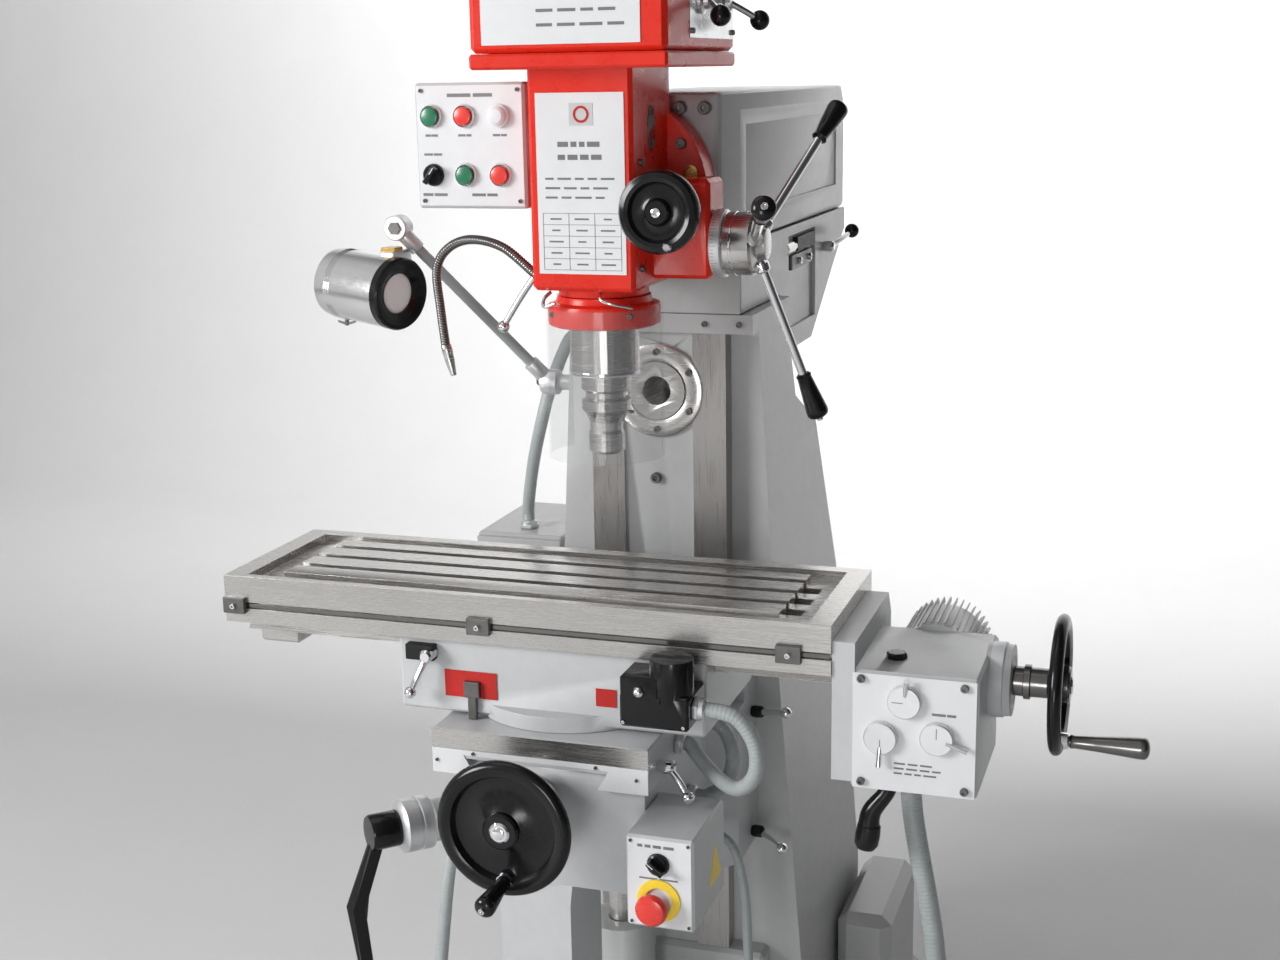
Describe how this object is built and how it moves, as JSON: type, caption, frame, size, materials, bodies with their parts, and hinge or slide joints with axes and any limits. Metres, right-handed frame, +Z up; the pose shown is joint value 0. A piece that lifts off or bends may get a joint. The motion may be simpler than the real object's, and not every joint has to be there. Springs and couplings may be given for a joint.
{
  "type": "vertical milling machine",
  "caption": "Knee milling machine with a sliding ram, a tilting head with quill and levers, a swivelling cross-slide table with handwheels and power feed, and a second horizontal spindle nose.",
  "frame": {"origin": "point of the floor under the vertical spindle, on the underside of the base", "axes": "+X to the operator's right, +Y from the operator towards the column, +Z up"},
  "size_m": [1.1553, 1.2453, 2.03],
  "materials": {
    "grey_paint": "semi-gloss light grey enamel",
    "red_paint": "gloss orange-red enamel",
    "ground_steel": "ground or scraped bare steel",
    "chrome": "polished chrome plate",
    "black_plastic": "gloss black phenolic",
    "white_paint": "satin white",
    "green_plastic": "green push-button cap",
    "red_plastic": "red push-button cap",
    "aluminium": "turned aluminium",
    "hose_plastic": "ribbed grey conduit",
    "clear_plastic": "clear guard sheet",
    "dark_iron": "blued or oiled iron"
  },
  "bodies": {
    "frame": {"base_casting": "grey_paint", "column_casting": "grey_paint", "ram_slideway": "grey_paint", "horizontal_motor": "grey_paint", "electrical_cabinet": "grey_paint", "screw_pedestal": "grey_paint", "column_conduit": "hose_plastic", "knee_conduit": "hose_plastic", "base_hose": "hose_plastic"},
    "cabinet_door": {"cabinet_door": "white_paint"},
    "horizontal_spindle": {"horizontal_spindle": "ground_steel"},
    "lamp_arm": {"lamp_arm": "grey_paint"},
    "lamp_shade": {"lamp_shade": "aluminium"},
    "ram_lock": {"ram_lock_lever": "black_plastic"},
    "ram": {"ram_casting": "grey_paint"},
    "head": {"head_casting": "red_paint", "top_housing": "red_paint", "head_motor": "grey_paint", "control_panel": "grey_paint"},
    "spindle_gear": {"spindle_gear": "dark_iron"},
    "motor_gear": {"motor_gear": "dark_iron"},
    "quill": {"quill": "ground_steel"},
    "spindle": {"vertical_spindle": "ground_steel"},
    "guard": {"guard_collar": "red_paint", "guard_shield": "clear_plastic"},
    "feed_levers": {"feed_levers": "aluminium"},
    "fine_feed": {"fine_feed_wheel": "black_plastic"},
    "quill_lock": {"quill_lock_lever": "white_paint"},
    "coolant_pipe": {"coolant_pipe": "dark_iron"},
    "speed_front": {"speed_lever_front": "black_plastic"},
    "speed_rear": {"speed_lever_rear": "black_plastic"},
    "start_button": {"start_button": "green_plastic"},
    "stop_button": {"stop_button": "red_plastic"},
    "mode_selector": {"mode_selector": "black_plastic"},
    "feed_start_button": {"feed_start_button": "green_plastic"},
    "feed_stop_button": {"feed_stop_button": "red_plastic"},
    "knee": {"knee_casting": "grey_paint", "estop_box": "grey_paint"},
    "elevating_screw": {"elevating_screw": "ground_steel"},
    "lifting_crank": {"lifting_crank": "black_plastic"},
    "cross_wheel": {"cross_handwheel": "black_plastic"},
    "estop_button": {"estop_button": "red_plastic"},
    "power_selector": {"power_selector": "black_plastic"},
    "knee_clamp_upper": {"knee_clamp_upper": "chrome"},
    "knee_clamp_lower": {"knee_clamp_lower": "chrome"},
    "saddle": {"cross_saddle": "ground_steel", "saddle_hose": "hose_plastic"},
    "saddle_clamp": {"saddle_clamp_lever": "chrome"},
    "swivel": {"swivel_saddle": "grey_paint", "limit_switch_box": "black_plastic", "switch_hose": "hose_plastic"},
    "table_clamp": {"table_clamp_lever": "chrome"},
    "table": {"table": "ground_steel", "feed_gearbox": "grey_paint", "drain_hose": "hose_plastic"},
    "table_wheel": {"table_handwheel": "black_plastic"},
    "feed_dial_1": {"feed_dial_1": "aluminium"},
    "feed_dial_2": {"feed_dial_2": "aluminium"},
    "feed_dial_3": {"feed_dial_3": "aluminium"},
    "feed_engage": {"feed_engage_handle": "black_plastic"}
  },
  "joints": [
    {"name": "door_hinge", "type": "hinge", "parent": "frame", "child": "cabinet_door", "pos_m": [-0.344, 0.357, 0.6], "axis": [0, 0, -1], "range_deg": [0, 105]},
    {"name": "horizontal_spindle_spin", "type": "hinge", "parent": "frame", "child": "horizontal_spindle", "pos_m": [0, 0.369, 1.15], "axis": [0, -1, 0], "continuous": true},
    {"name": "lamp_arm_swing", "type": "hinge", "parent": "frame", "child": "lamp_arm", "pos_m": [-0.1603, 0.25, 1.148], "axis": [1, 0, 0], "range_deg": [-20, 20]},
    {"name": "lamp_shade_tilt", "type": "hinge", "parent": "lamp_arm", "child": "lamp_shade", "pos_m": [-0.34, 0.143, 1.374], "axis": [0, 1, 0], "range_deg": [0, 25]},
    {"name": "ram_lock_turn", "type": "hinge", "parent": "frame", "child": "ram_lock", "pos_m": [0.1203, 0.7, 1.3], "axis": [1, 0, 0], "range_deg": [-30, 30]},
    {"name": "ram_slide", "type": "slide", "parent": "frame", "child": "ram", "axis": [0, -1, 0], "range_m": [0, 0.3]},
    {"name": "head_tilt", "type": "hinge", "parent": "ram", "child": "head", "pos_m": [0, 0.1, 1.43], "axis": [0, -1, 0], "range_deg": [-18, 18]},
    {"name": "spindle_gear_turn", "type": "hinge", "parent": "head", "child": "spindle_gear", "pos_m": [0, 0, 1.606], "axis": [0, 0, 1], "continuous": true},
    {"name": "motor_gear_turn", "type": "hinge", "parent": "head", "child": "motor_gear", "pos_m": [0, 0.096, 1.606], "axis": [0, 0, 1], "continuous": true},
    {"name": "quill_slide", "type": "slide", "parent": "head", "child": "quill", "axis": [0, 0, -1], "range_m": [-0.0001, 0.1201]},
    {"name": "spindle_spin", "type": "hinge", "parent": "quill", "child": "spindle", "pos_m": [0, 0, 1.108], "axis": [0, 0, 1], "continuous": true},
    {"name": "guard_turn", "type": "hinge", "parent": "head", "child": "guard", "pos_m": [0, 0, 1.27], "axis": [0, 0, 1], "range_deg": [-60, 60]},
    {"name": "feed_lever_turn", "type": "hinge", "parent": "head", "child": "feed_levers", "pos_m": [0.1373, 0.02, 1.37], "axis": [-1, 0, 0], "range_deg": [0, 270]},
    {"name": "fine_feed_turn", "type": "hinge", "parent": "head", "child": "fine_feed", "pos_m": [0.103, -0.0753, 1.416], "axis": [0, -1, 0], "continuous": true},
    {"name": "quill_lock_turn", "type": "hinge", "parent": "head", "child": "quill_lock", "pos_m": [-0.0658, 0, 1.345], "axis": [1, 0, 0], "range_deg": [-30, 30]},
    {"name": "coolant_pipe_swing", "type": "hinge", "parent": "head", "child": "coolant_pipe", "pos_m": [-0.066, -0.02, 1.331], "axis": [1, 0, 0], "range_deg": [-15, 15]},
    {"name": "speed_front_turn", "type": "hinge", "parent": "head", "child": "speed_front", "pos_m": [0.1208, 0.02, 1.655], "axis": [1, 0, 0], "range_deg": [-30, 30]},
    {"name": "speed_rear_turn", "type": "hinge", "parent": "head", "child": "speed_rear", "pos_m": [0.1208, 0.115, 1.655], "axis": [1, 0, 0], "range_deg": [-30, 30]},
    {"name": "start_button_press", "type": "slide", "parent": "head", "child": "start_button", "axis": [0, 1, 0], "range_m": [0, 0.004], "stiffness_N_per_m": 600, "springref_m": -0.001},
    {"name": "stop_button_press", "type": "slide", "parent": "head", "child": "stop_button", "axis": [0, 1, 0], "range_m": [0, 0.004], "stiffness_N_per_m": 600, "springref_m": -0.001},
    {"name": "feed_start_button_press", "type": "slide", "parent": "head", "child": "feed_start_button", "axis": [0, 1, 0], "range_m": [0, 0.004], "stiffness_N_per_m": 600, "springref_m": -0.001},
    {"name": "feed_stop_button_press", "type": "slide", "parent": "head", "child": "feed_stop_button", "axis": [0, 1, 0], "range_m": [0, 0.004], "stiffness_N_per_m": 600, "springref_m": -0.001},
    {"name": "mode_selector_turn", "type": "hinge", "parent": "head", "child": "mode_selector", "pos_m": [-0.209, -0.0303, 1.454], "axis": [0, -1, 0], "range_deg": [-45, 45]},
    {"name": "lifting_crank_turn", "type": "hinge", "parent": "knee", "child": "lifting_crank", "pos_m": [-0.13871, -0.12771, 0.66], "axis": [-0.698, -0.716, 0], "range_deg": [-14859, 2709]},
    {"name": "knee_lift", "type": "slide", "parent": "frame", "child": "knee", "axis": [0, 0, 1], "range_m": [-0.165, 0.03], "deforming": ["knee_conduit", "base_hose"]},
    {"name": "elevating_screw_turn", "type": "hinge", "parent": "knee", "child": "elevating_screw", "pos_m": [-0.04, 0.13, 0.26], "axis": [0, 0, 1], "range_deg": [-14859, 2709]},
    {"name": "cross_wheel_turn", "type": "hinge", "parent": "knee", "child": "cross_wheel", "pos_m": [-0.04, -0.1653, 0.712], "axis": [0, -1, 0], "range_deg": [-3609, 4509]},
    {"name": "cross_slide", "type": "slide", "parent": "knee", "child": "saddle", "axis": [0, 1, 0], "range_m": [-0.04, 0.05], "deforming": ["saddle_hose"]},
    {"name": "estop_press", "type": "slide", "parent": "knee", "child": "estop_button", "axis": [0, 1, 0], "range_m": [0, 0.004], "stiffness_N_per_m": 800, "springref_m": -0.001},
    {"name": "power_selector_turn", "type": "hinge", "parent": "knee", "child": "power_selector", "pos_m": [0.138, -0.2403, 0.673], "axis": [0, -1, 0], "range_deg": [-45, 45]},
    {"name": "knee_clamp_upper_turn", "type": "hinge", "parent": "knee", "child": "knee_clamp_upper", "pos_m": [0.1323, 0.205, 0.7], "axis": [1, 0, 0], "range_deg": [-35, 35]},
    {"name": "knee_clamp_lower_turn", "type": "hinge", "parent": "knee", "child": "knee_clamp_lower", "pos_m": [0.1323, 0.205, 0.52], "axis": [1, 0, 0], "range_deg": [-35, 35]},
    {"name": "saddle_clamp_turn", "type": "hinge", "parent": "saddle", "child": "saddle_clamp", "pos_m": [0.1063, -0.14, 0.752], "axis": [1, 0, 0], "range_deg": [-25, 35]},
    {"name": "saddle_swivel", "type": "hinge", "parent": "saddle", "child": "swivel", "pos_m": [-0.04, -0.023, 0.785], "axis": [0, 0, 1], "range_deg": [-8, 8], "deforming": ["switch_hose"]},
    {"name": "table_clamp_turn", "type": "hinge", "parent": "swivel", "child": "table_clamp", "pos_m": [-0.193, -0.1313, 0.868], "axis": [0, -1, 0], "range_deg": [-30, 30]},
    {"name": "table_wheel_turn", "type": "hinge", "parent": "table", "child": "table_wheel", "pos_m": [0.5153, -0.023, 0.861], "axis": [1, 0, 0], "range_deg": [-13509, 13509]},
    {"name": "table_slide", "type": "slide", "parent": "swivel", "child": "table", "axis": [1, 0, 0], "range_m": [-0.15, 0.15]},
    {"name": "feed_dial_1_turn", "type": "hinge", "parent": "table", "child": "feed_dial_1", "pos_m": [0.406, -0.1403, 0.866], "axis": [0, -1, 0], "range_deg": [-60, 60]},
    {"name": "feed_dial_2_turn", "type": "hinge", "parent": "table", "child": "feed_dial_2", "pos_m": [0.379, -0.1403, 0.82], "axis": [0, -1, 0], "range_deg": [-60, 60]},
    {"name": "feed_dial_3_turn", "type": "hinge", "parent": "table", "child": "feed_dial_3", "pos_m": [0.444, -0.1403, 0.825], "axis": [0, -1, 0], "range_deg": [-60, 60]},
    {"name": "feed_engage_turn", "type": "hinge", "parent": "table", "child": "feed_engage", "pos_m": [0.386, -0.095, 0.7517], "axis": [0, 0, 1], "range_deg": [-40, 40]}
  ],
  "couplings": [
    {"joint": "spindle_gear_turn", "follows": "spindle_spin", "ratio": 1},
    {"joint": "motor_gear_turn", "follows": "spindle_spin", "ratio": -2.2},
    {"joint": "quill_slide", "follows": "feed_lever_turn", "m_per_rad": 0.025465},
    {"joint": "lifting_crank_turn", "follows": "knee_lift", "rad_per_m": 1570.8},
    {"joint": "elevating_screw_turn", "follows": "knee_lift", "rad_per_m": 1570.8},
    {"joint": "cross_wheel_turn", "follows": "cross_slide", "rad_per_m": 1570.8},
    {"joint": "table_wheel_turn", "follows": "table_slide", "rad_per_m": 1570.8}
  ]
}
